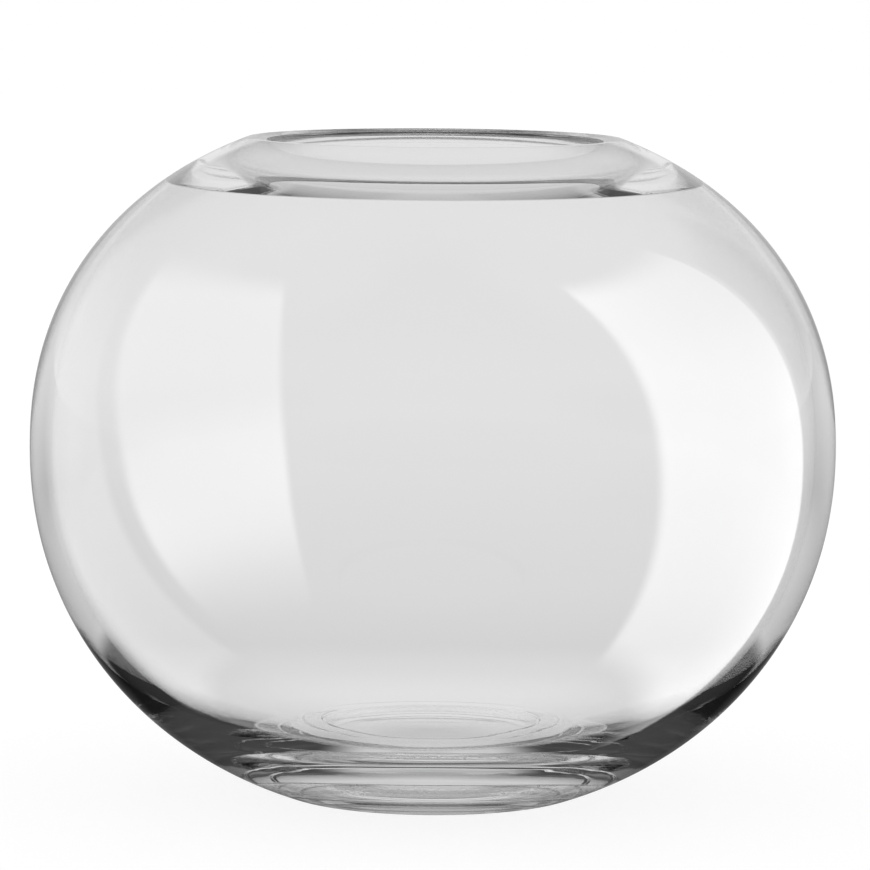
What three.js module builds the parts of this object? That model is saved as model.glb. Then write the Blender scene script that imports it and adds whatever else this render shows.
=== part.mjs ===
import * as THREE from "three";

// Round bubble vase, blown in one piece from clear glass.
// Millimetres, Z up, the axis of the body on Z and the foot standing on Z = 0.

// Outside of the body. The fullness of a curve is 2 for an ellipse and more for a squarer one.
const BELLY_DIAMETER = 200;
const DOME_RISE = 84.3; // from the widest ring up to where the shoulder would close
const DOME_FULLNESS = 2.19;
const BOWL_DROP = 92.2; // from the widest ring down to where the bowl would close
const BOWL_FULLNESS = 2.08;
const FOOT_DIAMETER = 74;

// Lip: a face that falls inwards from the crest to a rounded edge round the mouth.
const MOUTH_DIAMETER = 83;
const LIP_WIDTH = 4.5; // crest to edge, along the radius
const LIP_FALL = 0.7; // crest to the top of the edge
const LIP_EDGE = 0.7; // height of the edge
const EDGE_SLANT = 0.8; // how far the edge draws back under the lip, along the radius
const CREST_ROUNDING = 0.7;
const EDGE_ROUNDING = 0.33;

// Collar: the straight cone under the lip, down to a ring on the inside of the shoulder.
const COLLAR_WIDTH = 23.7; // edge of the mouth to the ring, along the radius
const COLLAR_WALL = 2.9; // upright thickness of the glass over the ring

// Glass round the hollow: an even wall at the belly that gathers into a thick base under the floor.
const BELLY_WALL = 5;
const BASE_THICKNESS = 13.1; // on the axis, from the surface the vase stands on up to the floor
const BASE_GATHER = 7.5; // the higher, the nearer to the axis the wall starts to thicken

// Underside: a flat ring to stand on round a shallow hollow.
const FOOT_RING_WIDTH = 10.2;
const HOLLOW_HEIGHT = 1.2;

// Steps round the axis and along each curve
const STEPS_ROUND = 64;
const STEPS_CURVE = 13;
const STEPS_WELL = 18;
const STEPS_HOLLOW = 4;
const STEPS_ROUNDING = 3;

const GLASS_COLOUR = 0xe9eeee;

const bellyRadius = BELLY_DIAMETER / 2;
const footRadius = FOOT_DIAMETER / 2;
const mouthRadius = MOUTH_DIAMETER / 2;
const crestRadius = mouthRadius + LIP_WIDTH;
const ringRadius = mouthRadius + COLLAR_WIDTH;
const hollowRadius = bellyRadius - BELLY_WALL;
const footHollowRadius = footRadius - FOOT_RING_WIDTH;

// Rise of a full curve over its widest ring, at a given radius.
function riseAt(radius, widest, rise, fullness) {
  return rise * Math.pow(1 - Math.pow(radius / widest, fullness), 1 / fullness);
}

// Turn from the widest ring, in radians, at which a full curve has come in to a given radius.
function turnAt(radius, widest, fullness) {
  return Math.acos(Math.pow(radius / widest, fullness / 2));
}

// Points along a full curve from one turn to another. A negative rise runs downwards.
function fullCurve(widest, rise, fullness, centre, fromTurn, toTurn) {
  const points = [];
  for (let i = 0; i <= STEPS_CURVE; i++) {
    const turn = fromTurn + ((toTurn - fromTurn) * i) / STEPS_CURVE;
    const radius = widest * Math.pow(Math.max(Math.cos(turn), 0), 2 / fullness);
    const height = rise * Math.pow(Math.max(Math.sin(turn), 0), 2 / fullness);
    points.push(new THREE.Vector2(radius, centre + height));
  }
  return points;
}

// Points round a corner that is cut back by a given reach along both of its sides.
function roundedCorner(before, corner, after, reach) {
  const start = corner.clone().add(before.clone().sub(corner).setLength(reach));
  const end = corner.clone().add(after.clone().sub(corner).setLength(reach));
  return new THREE.QuadraticBezierCurve(start, corner, end).getPoints(STEPS_ROUNDING);
}

const bellyHeight = riseAt(footRadius, bellyRadius, BOWL_DROP, BOWL_FULLNESS);
const crestHeight = bellyHeight + riseAt(crestRadius, bellyRadius, DOME_RISE, DOME_FULLNESS);
const ringHeight =
  bellyHeight + riseAt(ringRadius, bellyRadius, DOME_RISE, DOME_FULLNESS) - COLLAR_WALL;
const hollowRise = (ringHeight - bellyHeight) / riseAt(ringRadius, hollowRadius, 1, DOME_FULLNESS);

// The inside of the bowl, from under the belly down to the middle of the floor. Each point lies square in
// from a point of the outside, by the thickness that the glass has there.
function wellCurve() {
  const baseShell = BASE_THICKNESS - bellyHeight + BOWL_DROP;
  const points = [];
  for (let i = 1; i <= STEPS_WELL; i++) {
    const turn = ((Math.PI / 2) * i) / STEPS_WELL;
    const across = Math.pow(Math.max(Math.cos(turn), 0), 2 / BOWL_FULLNESS);
    const down = Math.pow(Math.sin(turn), 2 / BOWL_FULLNESS);
    const outside = new THREE.Vector2(bellyRadius * across, bellyHeight - BOWL_DROP * down);
    const outward = new THREE.Vector2(
      Math.pow(across, BOWL_FULLNESS - 1) / bellyRadius,
      -Math.pow(down, BOWL_FULLNESS - 1) / BOWL_DROP,
    );
    const wall = BELLY_WALL + (baseShell - BELLY_WALL) * Math.pow(Math.sin(turn), BASE_GATHER);
    points.push(outside.sub(outward.setLength(wall)));
  }
  points[points.length - 1].x = 0;
  return points;
}

// The underside, from the axis out to the flat ring
const underside = [];
for (let i = 0; i <= STEPS_HOLLOW; i++) {
  const out = i / STEPS_HOLLOW;
  underside.push(new THREE.Vector2(footHollowRadius * out, HOLLOW_HEIGHT * (1 - out * out)));
}

// The outside, from the foot up to where the shoulder starts to turn over into the lip
const footTurn = turnAt(footRadius, bellyRadius, BOWL_FULLNESS);
const lipTurn = turnAt(crestRadius + CREST_ROUNDING, bellyRadius, DOME_FULLNESS);
const bowl = fullCurve(bellyRadius, -BOWL_DROP, BOWL_FULLNESS, bellyHeight, footTurn, 0);
const dome = fullCurve(bellyRadius, DOME_RISE, DOME_FULLNESS, bellyHeight, 0, lipTurn);

// The lip, over the crest and round the edge of the mouth, and the ring under it
const crest = new THREE.Vector2(crestRadius, crestHeight);
const edgeTop = new THREE.Vector2(mouthRadius, crestHeight - LIP_FALL);
const edgeFoot = new THREE.Vector2(mouthRadius + EDGE_SLANT, edgeTop.y - LIP_EDGE);
const ring = new THREE.Vector2(ringRadius, ringHeight);
const edgeReach = Math.min(EDGE_ROUNDING, LIP_EDGE / 2.1);
const lip = [
  ...roundedCorner(dome[dome.length - 1], crest, edgeTop, CREST_ROUNDING).slice(1),
  ...roundedCorner(crest, edgeTop, edgeFoot, edgeReach),
  ...roundedCorner(edgeTop, edgeFoot, ring, edgeReach),
];

// The inside, from the ring down past the belly to the middle of the floor
const ringTurn = turnAt(ringRadius, hollowRadius, DOME_FULLNESS);
const shoulder = fullCurve(hollowRadius, hollowRise, DOME_FULLNESS, bellyHeight, ringTurn, 0);
const well = wellCurve();

const section = [
  ...underside,
  ...bowl,
  ...dome.slice(1),
  ...lip,
  ...shoulder,
  ...well,
];

const glass = new THREE.MeshStandardMaterial({
  color: GLASS_COLOUR,
  roughness: 0.03,
  metalness: 0,
  transparent: true,
  opacity: 0.35,
});

const body = new THREE.LatheGeometry(section, STEPS_ROUND);
body.rotateX(Math.PI / 2);

const vaseBody = new THREE.Mesh(body, glass);
vaseBody.name = "vase_body";

const vase = new THREE.Group();
vase.name = "bubble_vase";
vase.add(vaseBody);

export default vase;
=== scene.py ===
import math

import bpy
from mathutils import Matrix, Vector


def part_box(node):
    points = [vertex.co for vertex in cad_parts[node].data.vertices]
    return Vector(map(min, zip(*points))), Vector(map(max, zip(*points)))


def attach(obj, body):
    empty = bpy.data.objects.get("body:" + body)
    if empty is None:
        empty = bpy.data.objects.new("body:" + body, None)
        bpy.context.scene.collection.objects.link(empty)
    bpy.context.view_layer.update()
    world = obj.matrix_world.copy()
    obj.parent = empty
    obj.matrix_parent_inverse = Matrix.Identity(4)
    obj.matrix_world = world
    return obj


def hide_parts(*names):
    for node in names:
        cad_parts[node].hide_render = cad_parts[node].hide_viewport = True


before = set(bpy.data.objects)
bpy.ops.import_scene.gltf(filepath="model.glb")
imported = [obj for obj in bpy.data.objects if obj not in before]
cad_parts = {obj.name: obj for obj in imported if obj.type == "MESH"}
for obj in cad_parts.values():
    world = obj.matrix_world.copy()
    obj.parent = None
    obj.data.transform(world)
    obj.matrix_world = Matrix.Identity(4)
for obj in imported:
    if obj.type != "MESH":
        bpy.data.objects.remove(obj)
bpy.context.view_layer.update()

# Sizes of the glass in millimetres, for a body 200 wide. The frame gives the real width.
BELLY_RADIUS = 100.0
DOME_RISE = 84.3
DOME_FULLNESS = 2.19
BOWL_DROP = 92.2
BOWL_FULLNESS = 2.08
FOOT_RADIUS = 37.0
FOOT_ROUNDING = 0.8

CREST_RADIUS = 46.0
MOUTH_RADIUS = 41.5
LIP_FALL = 0.7
LIP_EDGE = 0.7
EDGE_SLANT = 0.8
CREST_ROUNDING = 0.7
EDGE_ROUNDING = 0.33
RING_RADIUS = 65.2
RING_ROUNDING = 0.3
COLLAR_WALL = 2.9

BELLY_WALL = 5.0
BASE_THICKNESS = 13.1
WELL_GATHER = 7.5
HOLLOW_RADIUS = 26.8
HOLLOW_HEIGHT = 1.2

FLOOR_RINGS = (27.5, 33.0)
RING_MARK_WIDTH = 1.4
RING_MARK_DEPTH = 0.3

# How finely the section is drawn, and how often it is repeated round the axis.
STEPS_ROUND = 224
STEPS_CURVE = 72
STEPS_RING = 8
STEPS_CORNER = 8
STEPS_HOLLOW = 16
STEPS_FOOT = 8
STEPS_LIP = 10
STEPS_COLLAR = 24
HALVINGS = 40
ON_AXIS = 1e-6

# The glass: its swirl, its faint level streaks near the foot and the worn ring that it stands on. Scales
# count for each metre (for the streaks along x, y and z), depths and heights are metres.
REFRACTION = 1.5
GLASS_TINT = (0.996, 0.996, 0.996, 1.0)
SWIRL_SCALE = 14.0
SWIRL_STRENGTH = 0.02
SWIRL_DEPTH = 0.002
STREAKS = (9.0, 9.0, 240.0)
STREAKS_END = (0.018, 0.034)
STREAK_DEPTH = 0.00006
GRIT_SCALE = 900.0
GRIT_RANGE = (0.35, 0.75)
WORN_HEIGHT = (0.0001, 0.0004)
WORN_ROUGHNESS = (0.05, 0.35)

# Camera, as it stood for the photograph: metres, radians and pixels of an image 870 wide.
IMAGE_WIDTH = 870.0
CAMERA_DISTANCE = 1.300
CAMERA_HEIGHT = 0.2295
CAMERA_PITCH = 0.1075
CAMERA_ROLL = 0.0071
FOCAL_LENGTH = 5256.5
CENTRE_SHIFT = 2.12
SENSOR = 36.0

# Studio. Heights and bearings are degrees over the floor and away from straight behind the vase,
# distances are metres from its axis, and a level of 1 is white. Lists hold pairs of a place and a level.
BACKDROP = [
    (-2, 0.81), (2, 0.72), (6, 0.69), (12, 0.6), (18, 0.5), (26, 0.42), (34, 0.4), (50, 0.36), (90, 0.3)]
SURROUND = [(-2, 0.7), (4, 0.62), (12, 0.5), (20, 0.42), (40, 0.36), (90, 0.3)]
SURROUND_START = (25, 60)
# Painted shade: dimmer surroundings for light with a long way through the glass.
DIM = [(-2, 0.1), (6, 0.06), (20, 0.05), (40, 0.08), (90, 0.1)]
DIM_START = (12, 26)
# Painted shade: surroundings darker at the sides for light that was led along inside the wall.
PAINTED_WALL_SHADE = [(-2, 0.05), (2, 0.02), (6, 0.008), (14, 0.008), (20, 0.02), (30, 0.07), (60, 0.15), (90, 0.2)]
PAINTED_WALL_SHADE_START = (40, 60)
BACK_SHEEN = [
    (-90, 0.01), (-24, 0.01), (-16, 0.08), (-8, 0.3), (0, 0.65), (7, 0.9), (14, 0.95), (40, 0.8), (90, 0.5)]
SHEEN_GAP = [(-90, 1.0), (14, 1.0), (18, 0.4), (28, 0.35), (40, 1.0), (90, 1.0)]
SHEEN_GAP_TURN = (8, 18)
FRONT_SHEEN = 0.42
SHEEN_BLEND = (-0.2, 0.2)

# How often light has met the glass (Ray Depth). Before THIN_PATH it has met it three times at most, as at
# the foot of a wall. From LONG_PATH on it was thrown about in the thick base or the lip, and from LED_PATH
# on it was led along inside the wall. BOUNCES is where it is given up.
THIN_PATH = 3.5
LONG_PATH = (8.0, 9.5)
LED_PATH = (18.0, 20.0)
BOUNCES = 28

# The floor. TABLE values are the painted light and shade that the glass shows of it, and SHADE is a painted
# shadow of the vase beside it that shows through the foot of the wall. FLOOR values are its disc, its colour
# for other light, and the share that takes a shadow and the even white that the camera sees.
TABLE_BEHIND = [(0.0, 0.6), (0.03, 0.85), (0.06, 0.88), (0.1, 0.78), (0.16, 0.7), (0.3, 0.74), (1.0, 0.8)]
TABLE_FRONT = [(0.0, 0.6), (0.03, 0.65), (0.12, 0.65), (0.3, 0.75), (1.0, 0.8)]
TABLE_FRONT_START = (95, 140)
TABLE_END = (0.2, 0.6)
TABLE_END_TURN = (18, 42)
TABLE_END_BACK = (115, 150)
TABLE_END_DEPTH = 0.3
TABLE_DIM_FROM = (0.08, 0.14)
TABLE_DIM_TURN = (12, 30)
TABLE_DIM_DEPTH = 0.88
SHADE_NEAR, SHADE_FAR = 0.050, 0.108
SHADE_TURN = (72, 105)
SHADE_CORE, SHADE_REACH = 0.016, 0.040
SHADE_DEPTH = 0.95
SHADE_START = (44, 57)
SHADE_END = (150, 165)
FLOOR_RADIUS = 4.0
FLOOR_STEPS = 96
FLOOR_GAP = 0.0002
FLOOR_COLOUR = (0.85, 0.85, 0.85, 1.0)
FLOOR_SHADOW = (0.14, 0.14, 0.14, 1.0)
FLOOR_WHITE = 0.88

# Panels that show in the gloss of the glass. Each edge is degrees off the camera's side, with its lean and
# its bend over the slope up to the point. The foot and the two ends of the head are such slopes. The light
# goes from one level to the other across the panel, and the core adds its level round a height on it,
# within a reach. Feathers are the soft shares of the near edge, far edge, foot and head.
PANEL_DISTANCE = 4.0
PANEL_CENTRE = 0.09
PANEL_STEPS = 32
NO_CORE = (0.0, 0.5, 0.5)
PANELS = {
    "panel_right": {
        "near_edge": (63.0, -4.5, 1.2), "far_edge": (128.0, -12.0, 0.0),
        "foot": -1.45, "head": (1.7, 1.25),
        "level": (4.7, 2.2), "core": (0.8, 0.46, 0.3), "feather": (0.08, 0.03, 0.16, 0.16)},
    "flag_right": {
        "near_edge": (128.0, -12.0, 0.0), "far_edge": (156.0, -12.0, 0.0),
        "foot": -0.05, "head": (0.9, 0.9),
        "level": (0.3, 0.3), "core": NO_CORE, "feather": (0.1, 0.35, 0.18, 0.3)},
    "panel_left": {
        "near_edge": (-101.0, -30.0, -8.0), "far_edge": (-39.0, -8.0, -9.0),
        "foot": -0.95, "head": (0.75, 1.55),
        "level": (2.1, 2.8), "core": (1.7, 0.36, 0.24), "feather": (0.1, 0.05, 0.3, 0.15)},
    "panel_side": {
        "near_edge": (-146.0, -12.0, 0.0), "far_edge": (-105.0, -30.0, -8.0),
        "foot": -1.3, "head": (0.65, 0.65),
        "level": (1.35, 1.35), "core": NO_CORE, "feather": (0.3, 0.12, 0.15, 0.3)},
}

low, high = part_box("vase_body")
MM = (high.x - low.x) / (2.0 * BELLY_RADIUS)


def full_curve(widest, rise, fullness, centre, from_turn, to_turn):
    """Points along a rounded curve, from one turn off its widest ring to another."""
    points = []
    for i in range(STEPS_CURVE + 1):
        turn = from_turn + (to_turn - from_turn) * i / STEPS_CURVE
        radius = widest * max(math.cos(turn), 0.0) ** (2.0 / fullness)
        points.append((radius, centre + rise * max(math.sin(turn), 0.0) ** (2.0 / fullness)))
    return points


def turn_at(radius, widest, fullness):
    """Turn off the widest ring at which a rounded curve has a radius."""
    return math.acos((radius / widest) ** (fullness / 2.0))


def rise_at(radius, widest, rise, fullness):
    """Height of a rounded curve over its widest ring, where it has a radius."""
    return rise * (1.0 - (radius / widest) ** fullness) ** (1.0 / fullness)


def between(a, b, t):
    return (a[0] + (b[0] - a[0]) * t, a[1] + (b[1] - a[1]) * t)


def rounded_corner(before, corner, after, reach):
    """Points round a corner that is cut back by a reach along both of its sides."""
    start = between(corner, before, reach / math.dist(corner, before))
    end = between(corner, after, reach / math.dist(corner, after))
    points = []
    for i in range(STEPS_CORNER + 1):
        t = i / STEPS_CORNER
        points.append(between(between(start, corner, t), between(corner, end, t), t))
    return points


def line(a, b, steps):
    """Points of a straight line without its two ends, closer together near both."""
    return [between(a, b, 0.5 - 0.5 * math.cos(math.pi * i / steps)) for i in range(1, steps)]


def ring_marks(radius):
    """Depth of the two faint rings that are pressed into the floor of the well."""
    depth = 0.0
    for ring in FLOOR_RINGS:
        off = abs(radius - ring) / (0.5 * RING_MARK_WIDTH)
        if off < 1.0:
            depth += RING_MARK_DEPTH * (0.5 + 0.5 * math.cos(math.pi * off))
    return depth


def well_point(turn, belly):
    """A point on the inside of the bowl. The glass outside of it thickens from the belly to the base."""
    shell = BASE_THICKNESS - belly + BOWL_DROP
    radius = BELLY_RADIUS * math.cos(turn) ** (2.0 / BOWL_FULLNESS)
    drop = BOWL_DROP * math.sin(turn) ** (2.0 / BOWL_FULLNESS)
    out = (radius / BELLY_RADIUS) ** (BOWL_FULLNESS - 1.0) / BELLY_RADIUS
    down = (drop / BOWL_DROP) ** (BOWL_FULLNESS - 1.0) / BOWL_DROP
    glass = BELLY_WALL + (shell - BELLY_WALL) * math.sin(turn) ** WELL_GATHER
    glass /= math.hypot(out, down)
    across = radius - out * glass
    return (across, belly - drop + down * glass - ring_marks(across))


def well_turn(across, belly):
    """Turn off the belly at which the inside of the bowl has a radius."""
    wide, narrow = 0.25 * math.pi, 0.5 * math.pi
    for _ in range(HALVINGS):
        middle = 0.5 * (wide + narrow)
        if well_point(middle, belly)[0] > across:
            wide = middle
        else:
            narrow = middle
    return narrow


def well_curve(belly):
    """Inside of the bowl from the belly down to the axis, with close points across the two rings."""
    turns = [0.5 * math.pi * i / STEPS_CURVE for i in range(1, STEPS_CURVE)]
    for ring in FLOOR_RINGS:
        for i in range(2 * STEPS_RING + 1):
            turns.append(well_turn(ring + 0.5 * RING_MARK_WIDTH * (i / STEPS_RING - 1.0), belly))
    return [well_point(turn, belly) for turn in sorted(turns)] + [(0.0, BASE_THICKNESS)]


def glass_section():
    """Half of the section through the glass, from the axis under the foot round to the floor of the well."""
    belly = rise_at(FOOT_RADIUS, BELLY_RADIUS, BOWL_DROP, BOWL_FULLNESS)
    crest = (CREST_RADIUS, belly + rise_at(CREST_RADIUS, BELLY_RADIUS, DOME_RISE, DOME_FULLNESS))
    edge_top = (MOUTH_RADIUS, crest[1] - LIP_FALL)
    edge_foot = (MOUTH_RADIUS + EDGE_SLANT, edge_top[1] - LIP_EDGE)
    ring_top = belly + rise_at(RING_RADIUS, BELLY_RADIUS, DOME_RISE, DOME_FULLNESS)
    ring = (RING_RADIUS, ring_top - COLLAR_WALL)
    inner = BELLY_RADIUS - BELLY_WALL
    inner_rise = (ring[1] - belly) / rise_at(RING_RADIUS, inner, 1.0, DOME_FULLNESS)

    points = []
    for i in range(STEPS_HOLLOW + 1):
        out = i / STEPS_HOLLOW
        points.append((HOLLOW_RADIUS * out, HOLLOW_HEIGHT * (1.0 - out * out)))
    foot_turn = turn_at(FOOT_RADIUS + FOOT_ROUNDING, BELLY_RADIUS, BOWL_FULLNESS)
    bowl = full_curve(BELLY_RADIUS, -BOWL_DROP, BOWL_FULLNESS, belly, foot_turn, 0.0)
    foot = rounded_corner(points[-1], (FOOT_RADIUS, 0.0), bowl[0], FOOT_ROUNDING)
    points += line(points[-1], foot[0], STEPS_FOOT) + foot[:-1] + bowl
    lip_turn = turn_at(CREST_RADIUS + CREST_ROUNDING, BELLY_RADIUS, DOME_FULLNESS)
    points += full_curve(BELLY_RADIUS, DOME_RISE, DOME_FULLNESS, belly, 0.0, lip_turn)[1:]
    points += rounded_corner(points[-1], crest, edge_top, CREST_ROUNDING)[1:]
    for before, corner, after in ((crest, edge_top, edge_foot), (edge_top, edge_foot, ring)):
        turned = rounded_corner(before, corner, after, EDGE_ROUNDING)
        points += line(points[-1], turned[0], STEPS_LIP) + turned
    ring_turn = turn_at(RING_RADIUS + RING_ROUNDING, inner, DOME_FULLNESS)
    shoulder = full_curve(inner, inner_rise, DOME_FULLNESS, belly, ring_turn, 0.0)
    turned = rounded_corner(edge_foot, ring, shoulder[0], RING_ROUNDING)
    points += line(points[-1], turned[0], STEPS_COLLAR) + turned[:-1] + shoulder
    points += well_curve(belly)
    return points


def new_object(name, data):
    piece = bpy.data.objects.new(name, data)
    bpy.context.scene.collection.objects.link(piece)
    return piece


def turned_mesh(name, points):
    """A closed mesh from a section that is turned once round the axis."""
    verts, faces, rings = [], [], []
    for radius, height in points:
        if radius < ON_AXIS:
            rings.append([len(verts)])
            verts.append((0.0, 0.0, height * MM))
            continue
        rings.append(range(len(verts), len(verts) + STEPS_ROUND))
        for j in range(STEPS_ROUND):
            angle = 2.0 * math.pi * j / STEPS_ROUND
            verts.append((radius * MM * math.cos(angle), radius * MM * math.sin(angle), height * MM))
    for a, b in zip(rings, rings[1:]):
        for j in range(STEPS_ROUND):
            k = (j + 1) % STEPS_ROUND
            if len(a) == 1:
                faces.append((a[0], b[k], b[j]))
            elif len(b) == 1:
                faces.append((a[j], a[k], b[0]))
            else:
                faces.append((a[j], a[k], b[k], b[j]))
    mesh = bpy.data.meshes.new(name)
    mesh.from_pydata(verts, [], faces)
    mesh.polygons.foreach_set("use_smooth", [True] * len(faces))
    mesh.update()
    return new_object(name, mesh)


class Nodes:
    """Short hand for laying out a node tree."""

    def __init__(self, tree):
        self.tree = tree
        tree.nodes.clear()

    def add(self, kind, inputs=None, **settings):
        n = self.tree.nodes.new(kind)
        for key, value in settings.items():
            setattr(n, key, value)
        for key, value in (inputs or {}).items():
            if isinstance(value, bpy.types.NodeSocket):
                self.tree.links.new(value, n.inputs[key])
            else:
                n.inputs[key].default_value = value
        return n

    def math(self, operation, a, b=0.0):
        return self.add("ShaderNodeMath", {0: a, 1: b}, operation=operation).outputs[0]

    def ease(self, value, start, end, low=0.0, high=1.0):
        """Runs smoothly from low to high while value goes from start to end."""
        inputs = {0: value, 1: start, 2: end, 3: low, 4: high}
        return self.add("ShaderNodeMapRange", inputs, interpolation_type="SMOOTHSTEP").outputs[0]

    def mix(self, share, a, b):
        return self.add("ShaderNodeMix", {0: share, 2: a, 3: b}, data_type="FLOAT").outputs[0]

    def noise(self, place, scale, detail):
        inputs = {"Vector": place, "Scale": scale, "Detail": detail}
        return self.add("ShaderNodeTexNoise", inputs).outputs["Fac"]

    def steps(self, value, stops):
        """A level that follows a list of (place, level) in straight runs."""
        first, last = stops[0][0], stops[-1][0]
        share = self.add("ShaderNodeMapRange", {0: value, 1: first, 2: last}).outputs[0]
        n = self.add("ShaderNodeFloatCurve", {1: share})
        curve = n.mapping.curves[0]
        while len(curve.points) < len(stops):
            curve.points.new(0.5, 0.5)
        for point, (place, level) in zip(curve.points, stops):
            point.location = ((place - first) / (last - first), level)
            point.handle_type = "VECTOR"
        n.mapping.update()
        return n.outputs[0]

    def finish(self, kind, shader):
        """Links a shader to the output of the tree."""
        self.tree.links.new(shader.outputs[0], self.add(kind).inputs["Surface"])


def new_material(name):
    material = bpy.data.materials.new(name)
    material.use_nodes = True
    return material, Nodes(material.node_tree)


def glass_material():
    material, n = new_material("clear_glass")
    place = n.add("ShaderNodeTexCoord").outputs["Object"]
    height = n.add("ShaderNodeSeparateXYZ", {0: place}).outputs["Z"]
    swirl = n.noise(place, scale=SWIRL_SCALE, detail=1.0)
    bump = n.add("ShaderNodeBump", {"Strength": SWIRL_STRENGTH, "Distance": SWIRL_DEPTH, "Height": swirl})
    level = n.add("ShaderNodeMapping", {"Vector": place, "Scale": STREAKS}).outputs[0]
    streaks = n.noise(level, scale=1.0, detail=2.0)
    streaks = n.math("MULTIPLY", streaks, n.ease(height, *STREAKS_END, 1.0, 0.0))
    bump = n.add("ShaderNodeBump", {
        "Strength": 1.0, "Distance": STREAK_DEPTH, "Height": streaks, "Normal": bump.outputs["Normal"]})
    grit = n.noise(place, scale=GRIT_SCALE, detail=3.0)
    worn = n.ease(height, *WORN_HEIGHT, 1.0, 0.0)
    rough = n.math("MULTIPLY", worn, n.ease(grit, *GRIT_RANGE, *WORN_ROUGHNESS))
    shader = n.add("ShaderNodeBsdfPrincipled", {
        "Base Color": GLASS_TINT,
        "Roughness": rough,
        "IOR": REFRACTION,
        "Transmission Weight": 1.0,
        "Normal": bump.outputs["Normal"],
    })
    n.finish("ShaderNodeOutputMaterial", shader)
    return material


def bearing(n, x, y):
    """Degrees away from straight behind the vase, the same to both sides."""
    return n.math("MULTIPLY", n.math("ABSOLUTE", n.math("ARCTAN2", x, y)), 180.0 / math.pi)


def by_path(n, path, short, long, led):
    """Picks a level by how often the light has met the surface of the glass."""
    depth = path.outputs["Ray Depth"]
    return n.mix(n.ease(depth, *LED_PATH), n.mix(n.ease(depth, *LONG_PATH), short, long), led)


def make_world():
    """White for the camera, and a studio for what the glass shows."""
    world = bpy.data.worlds.new("studio")
    bpy.context.scene.world = world
    world.use_nodes = True
    n = Nodes(world.node_tree)
    path = n.add("ShaderNodeLightPath")
    toward = n.add("ShaderNodeTexCoord").outputs["Generated"]
    x, y, z = n.add("ShaderNodeSeparateXYZ", {0: toward}).outputs
    height = n.math("MULTIPLY", n.math("ARCSINE", z), 180.0 / math.pi)
    aside = bearing(n, x, y)

    # By refraction: a lit backdrop in pale surroundings. Painted shade dims them for light with a long way
    # through the glass, and darkens them at the sides for light that was led along the wall.
    backdrop = n.steps(height, BACKDROP)
    pale = n.mix(n.ease(aside, *SURROUND_START), backdrop, n.steps(height, SURROUND))
    dim = n.mix(n.ease(aside, *DIM_START), backdrop, n.steps(height, DIM))
    dark = n.mix(n.ease(aside, *PAINTED_WALL_SHADE_START), backdrop, n.steps(height, PAINTED_WALL_SHADE))
    through = by_path(n, path, pale, dim, dark)

    # By reflection: a sheen from behind with a gap over the backdrop, and an even one from the front.
    gap = n.mix(n.ease(aside, *SHEEN_GAP_TURN), n.steps(height, SHEEN_GAP), 1.0)
    sheen = n.math("MULTIPLY", gap, n.steps(height, BACK_SHEEN))
    mirrored = n.mix(n.ease(y, *SHEEN_BLEND), FRONT_SHEEN, sheen)
    seen = n.mix(path.outputs["Is Transmission Ray"], mirrored, through)
    plain = n.mix(path.outputs["Is Glossy Ray"], 1.0, seen)
    level = n.mix(path.outputs["Is Camera Ray"], plain, 1.0)
    back = n.add("ShaderNodeBackground", {"Color": (1.0, 1.0, 1.0, 1.0), "Strength": level})
    n.finish("ShaderNodeOutputWorld", back)


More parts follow.
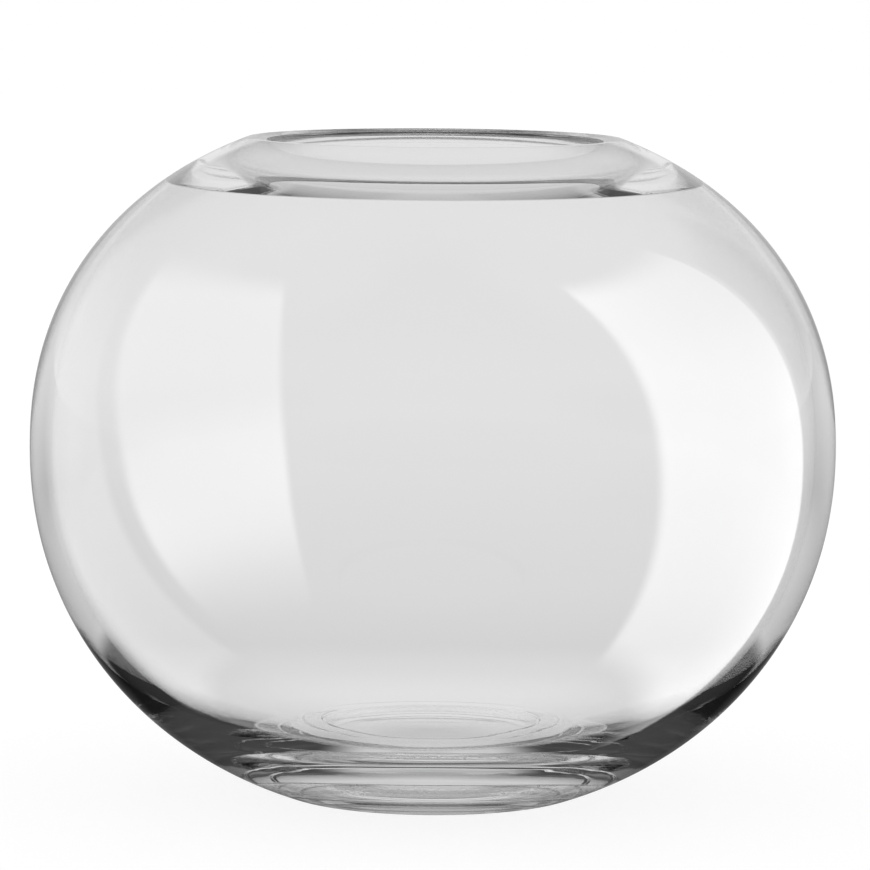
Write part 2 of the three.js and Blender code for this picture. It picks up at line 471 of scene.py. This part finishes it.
def floor_material():
    material, n = new_material("pale_floor")
    path = n.add("ShaderNodeLightPath")
    place = n.add("ShaderNodeNewGeometry").outputs["Position"]
    x, y, _ = n.add("ShaderNodeSeparateXYZ", {0: place}).outputs
    far = n.math("SQRT", n.math("ADD", n.math("MULTIPLY", x, x), n.math("MULTIPLY", y, y)))
    aside = bearing(n, x, y)

    # The table as the glass shows it, a glow of painted light, with painted shade towards its end at the
    # sides
    lit = n.mix(n.ease(aside, *TABLE_FRONT_START), n.steps(far, TABLE_BEHIND), n.steps(far, TABLE_FRONT))
    end = n.math("MULTIPLY", n.ease(far, *TABLE_END), n.ease(aside, *TABLE_END_TURN, 0.0, TABLE_END_DEPTH))
    end = n.math("MULTIPLY", end, n.ease(aside, *TABLE_END_BACK, 1.0, 0.0))
    pale = n.math("MULTIPLY", lit, n.math("SUBTRACT", 1.0, end))

    # With the painted shadow beside the vase, and with painted shade for light with a long way through the
    # glass
    middle = n.ease(aside, *SHADE_TURN, SHADE_FAR, SHADE_NEAR)
    off = n.math("ABSOLUTE", n.math("SUBTRACT", far, middle))
    shade = n.ease(off, SHADE_CORE, SHADE_REACH, SHADE_DEPTH, 0.0)
    shade = n.math("MULTIPLY", shade, n.ease(aside, *SHADE_START))
    shade = n.math("MULTIPLY", shade, n.ease(aside, *SHADE_END, 1.0, 0.0))
    dark = n.math("MULTIPLY", pale, n.math("SUBTRACT", 1.0, shade))
    # Painted shade: for light with a long way through the glass the table dims away from the vase and to the
    # sides
    fall = n.math("MAXIMUM", n.ease(far, *TABLE_DIM_FROM), n.ease(aside, *TABLE_DIM_TURN))
    fall = n.math("MULTIPLY", fall, TABLE_DIM_DEPTH)
    dim = n.math("MULTIPLY", pale, n.math("SUBTRACT", 1.0, fall))
    thin = n.math("LESS_THAN", path.outputs["Ray Depth"], THIN_PATH)
    through = by_path(n, path, n.mix(thin, pale, dark), dim, dark)
    glow = n.add("ShaderNodeEmission", {"Strength": through})

    # What the camera and other light see
    plain = n.add("ShaderNodeBsdfDiffuse", {"Color": FLOOR_COLOUR})
    shadow = n.add("ShaderNodeBsdfDiffuse", {"Color": FLOOR_SHADOW})
    white = n.add("ShaderNodeEmission", {"Strength": FLOOR_WHITE})
    direct = n.add("ShaderNodeAddShader", {0: shadow.outputs[0], 1: white.outputs[0]})
    first = n.add("ShaderNodeMixShader", {
        0: path.outputs["Is Transmission Ray"], 1: plain.outputs[0], 2: glow.outputs[0]})
    last = n.add("ShaderNodeMixShader", {
        0: path.outputs["Is Camera Ray"], 1: first.outputs[0], 2: direct.outputs[0]})
    n.finish("ShaderNodeOutputMaterial", last)
    return material


def make_floor():
    turns = [2.0 * math.pi * i / FLOOR_STEPS for i in range(FLOOR_STEPS)]
    rim = [(FLOOR_RADIUS * math.cos(turn), FLOOR_RADIUS * math.sin(turn), 0.0) for turn in turns]
    mesh = bpy.data.meshes.new("floor")
    mesh.from_pydata(rim, [], [range(FLOOR_STEPS)])
    mesh.materials.append(floor_material())
    floor = new_object("floor", mesh)
    floor.location.z = low.z - FLOOR_GAP
    floor.visible_glossy = False


def panel_material(name, level, core, feather):
    material, n = new_material(name)
    u, v, _ = n.add("ShaderNodeSeparateXYZ", {0: n.add("ShaderNodeTexCoord").outputs["UV"]}).outputs
    share = n.math("MULTIPLY", n.ease(u, 0.0, feather[0]), n.ease(u, 1.0, 1.0 - feather[1]))
    share = n.math("MULTIPLY", share, n.ease(v, 0.0, feather[2]))
    share = n.math("MULTIPLY", share, n.ease(v, 1.0, 1.0 - feather[3]))
    strength, height, reach = core
    off = n.math("ABSOLUTE", n.math("SUBTRACT", v, height))
    bright = n.math("ADD", n.mix(u, *level), n.ease(off, 0.0, reach, strength, 0.0))
    glow = n.add("ShaderNodeEmission", {"Strength": bright})
    clear = n.add("ShaderNodeBsdfTransparent")
    mixed = n.add("ShaderNodeMixShader", {0: share, 1: clear.outputs[0], 2: glow.outputs[0]})
    n.finish("ShaderNodeOutputMaterial", mixed)
    return material


def edge_turn(edge, slope):
    return edge[0] + edge[1] * slope + edge[2] * slope * slope


def make_panel(name, near_edge, far_edge, foot, head, level, core, feather):
    """A curved panel round the vase that shows in the gloss of the glass."""
    verts, uvs, faces = [], [], []
    for i in range(PANEL_STEPS + 1):
        v = i / PANEL_STEPS
        for j in range(PANEL_STEPS + 1):
            u = j / PANEL_STEPS
            slope = foot + (head[0] + (head[1] - head[0]) * u - foot) * v
            start, end = edge_turn(near_edge, slope), edge_turn(far_edge, slope)
            angle = math.radians(start + (end - start) * u)
            x, y = PANEL_DISTANCE * math.sin(angle), -PANEL_DISTANCE * math.cos(angle)
            verts.append((x, y, PANEL_CENTRE + PANEL_DISTANCE * slope))
            uvs.append((u, v))
    for i in range(PANEL_STEPS):
        for j in range(PANEL_STEPS):
            a = i * (PANEL_STEPS + 1) + j
            faces.append((a, a + 1, a + PANEL_STEPS + 2, a + PANEL_STEPS + 1))
    mesh = bpy.data.meshes.new(name)
    mesh.from_pydata(verts, [], faces)
    layer = mesh.uv_layers.new(name="panel")
    for loop in mesh.loops:
        layer.data[loop.index].uv = uvs[loop.vertex_index]
    mesh.materials.append(panel_material(name, level, core, feather))
    panel = new_object(name, mesh)
    panel.visible_camera = False
    panel.visible_diffuse = False
    panel.visible_transmission = False
    panel.visible_shadow = False


def make_camera():
    data = bpy.data.cameras.new("camera")
    data.sensor_width = SENSOR
    data.lens = FOCAL_LENGTH / IMAGE_WIDTH * SENSOR
    data.shift_x = CENTRE_SHIFT / IMAGE_WIDTH
    camera = new_object("camera", data)
    camera.matrix_world = (
        Matrix.Translation((0.0, -CAMERA_DISTANCE, CAMERA_HEIGHT))
        @ Matrix.Rotation(math.pi / 2 - CAMERA_PITCH, 4, "X")
        @ Matrix.Rotation(CAMERA_ROLL, 4, "Z")
    )
    bpy.context.scene.camera = camera


vase = turned_mesh("vase_glass", glass_section())
vase.data.materials.append(glass_material())
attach(vase, "root")
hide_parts("vase_body")

make_world()
make_floor()
for name, panel in PANELS.items():
    make_panel(name, **panel)
make_camera()

scene = bpy.context.scene
scene.view_settings.view_transform = "Standard"
scene.cycles.max_bounces = BOUNCES
scene.cycles.transmission_bounces = BOUNCES
scene.cycles.glossy_bounces = BOUNCES
